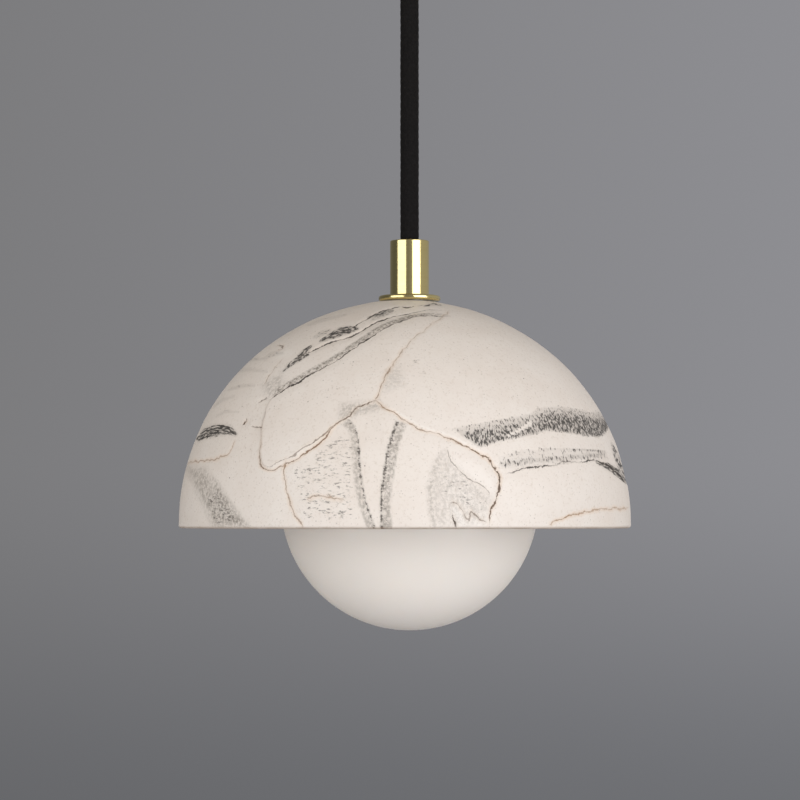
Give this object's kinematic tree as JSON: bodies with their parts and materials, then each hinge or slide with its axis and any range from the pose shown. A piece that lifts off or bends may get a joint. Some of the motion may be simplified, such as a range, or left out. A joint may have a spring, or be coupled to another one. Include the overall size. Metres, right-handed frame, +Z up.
{
  "type": "dome pendant light",
  "caption": "Pendant light with a marbled ceramic dome over an opal glass globe, on a black braided cord with a brass grip and ceiling rose.",
  "frame": {"origin": "middle of the ceiling bracket's upper face, where it meets the ceiling", "axes": "+Z up into the ceiling along the cord; +X to the right and +Y away in the picture's view"},
  "size_m": [0.175, 0.175, 0.2959],
  "materials": {
    "brass": "satin",
    "brass_small": "satin",
    "zinc_steel": "satin",
    "black_steel": "satin",
    "spring_steel": "satin",
    "block_plastic": "matte",
    "live_core": "satin",
    "neutral_core": "satin",
    "earth_core": "satin",
    "black_braid": "matte",
    "nylon": "matte",
    "clear_silicone": "satin",
    "white_silicone": "matte",
    "black_rubber": "matte",
    "marbled_ceramic": "satin",
    "porcelain": "satin",
    "opal_glass": "satin",
    "white_plastic": "satin",
    "frosted_plastic": "matte",
    "board": "matte"
  },
  "bodies": {
    "ceiling": {"ceiling_bracket": "zinc_steel", "bracket_earth_screw": "brass_small", "rose_side_screws": "brass", "terminal_block": "block_plastic", "terminal_sleeves": "brass_small", "terminal_screws": "zinc_steel", "terminal_fixing_screws": "zinc_steel", "rose_wire_live": "live_core", "rose_wire_neutral": "neutral_core", "rose_wire_earth": "earth_core"},
    "rose": {"rose_cup": "brass", "rose_gland": "brass", "gland_cap": "brass", "gland_washer": "zinc_steel", "gland_nut": "zinc_steel", "gland_grub_screw": "black_steel", "cord_upper_end": "black_braid"},
    "bush": {"cord_bush": "nylon"},
    "cord": {"cord": "black_braid"},
    "head": {"cord_grip": "brass", "grip_screw": "black_steel", "flange": "brass", "top_gasket": "clear_silicone", "threaded_tube": "zinc_steel", "ceramic_dome": "marbled_ceramic", "lower_gasket": "black_rubber", "steel_washer": "zinc_steel", "lock_nut": "zinc_steel", "globe_gallery": "brass", "earth_tag": "brass_small", "holder_stirrup": "zinc_steel", "gallery_nut": "zinc_steel", "lampholder": "porcelain", "holder_screws": "zinc_steel", "holder_contacts": "spring_steel", "head_wire_live": "live_core", "head_wire_neutral": "neutral_core", "head_wire_earth": "earth_core"},
    "seal": {"globe_seal": "white_silicone"},
    "globe": {"glass_globe": "opal_glass"},
    "lamp": {"lamp_base": "white_plastic", "lamp_pins": "zinc_steel", "lamp_envelope": "frosted_plastic", "lamp_board": "board"}
  },
  "joints": [
    {"name": "rose_lower", "type": "slide", "parent": "ceiling", "child": "rose", "axis": [0, 0, -1], "range_m": [0, 0.03], "deforming": ["rose_wire_live", "rose_wire_neutral", "rose_wire_earth"]},
    {"name": "swing_x", "type": "hinge", "parent": "rose", "child": "bush", "pos_m": [0, 0, -0.0425], "axis": [1, 0, 0], "range_deg": [-12, 12]},
    {"name": "swing_y", "type": "hinge", "parent": "bush", "child": "cord", "pos_m": [0, 0, -0.0425], "axis": [0, 1, 0], "range_deg": [-12, 12]},
    {"name": "cord_twist", "type": "hinge", "parent": "cord", "child": "head", "pos_m": [0, 0, -0.1565], "axis": [0, 0, 1], "range_deg": [-180, 180]},
    {"name": "globe_thread", "type": "slide", "parent": "head", "child": "seal", "axis": [0, 0, -1], "range_m": [0, 0.008]},
    {"name": "globe_turn", "type": "hinge", "parent": "seal", "child": "globe", "pos_m": [0, 0, -0.24585], "axis": [0, 0, 1], "range_deg": [0, 720]},
    {"name": "lamp_pull", "type": "slide", "parent": "head", "child": "lamp", "axis": [0, 0, -1], "range_m": [0, 0.012]}
  ],
  "couplings": [
    {"joint": "globe_thread", "follows": "globe_turn", "m_per_rad": 0.000636}
  ]
}
